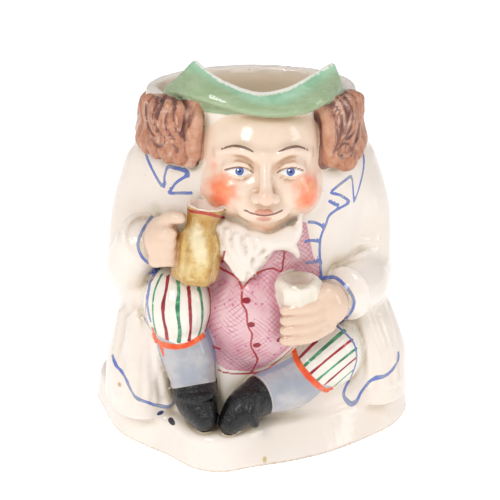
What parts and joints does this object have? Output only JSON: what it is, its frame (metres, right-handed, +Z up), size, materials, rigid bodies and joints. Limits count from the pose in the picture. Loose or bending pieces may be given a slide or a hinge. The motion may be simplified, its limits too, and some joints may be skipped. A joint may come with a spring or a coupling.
{
  "type": "toby jug",
  "caption": "Small glazed porcelain toby jug: a seated man in a cocked hat holding an ale jug and a beaker, open at the hat, with a loop handle at his back.",
  "frame": {"origin": "on the table, under the middle of the jug's overall box", "axes": "+Z up, -Y the way the figure faces, +X to the figure's left hand"},
  "size_m": [0.1098, 0.1056, 0.13],
  "materials": {
    "glazed_ceramic": "clear lead glaze over an off-white porcelain body, hand painted in enamels: green hat, brown hair, pink waistcoat, striped breeches, blue piping"
  },
  "bodies": {
    "root": {"toby_jug": "glazed_ceramic"}
  },
  "joints": []
}
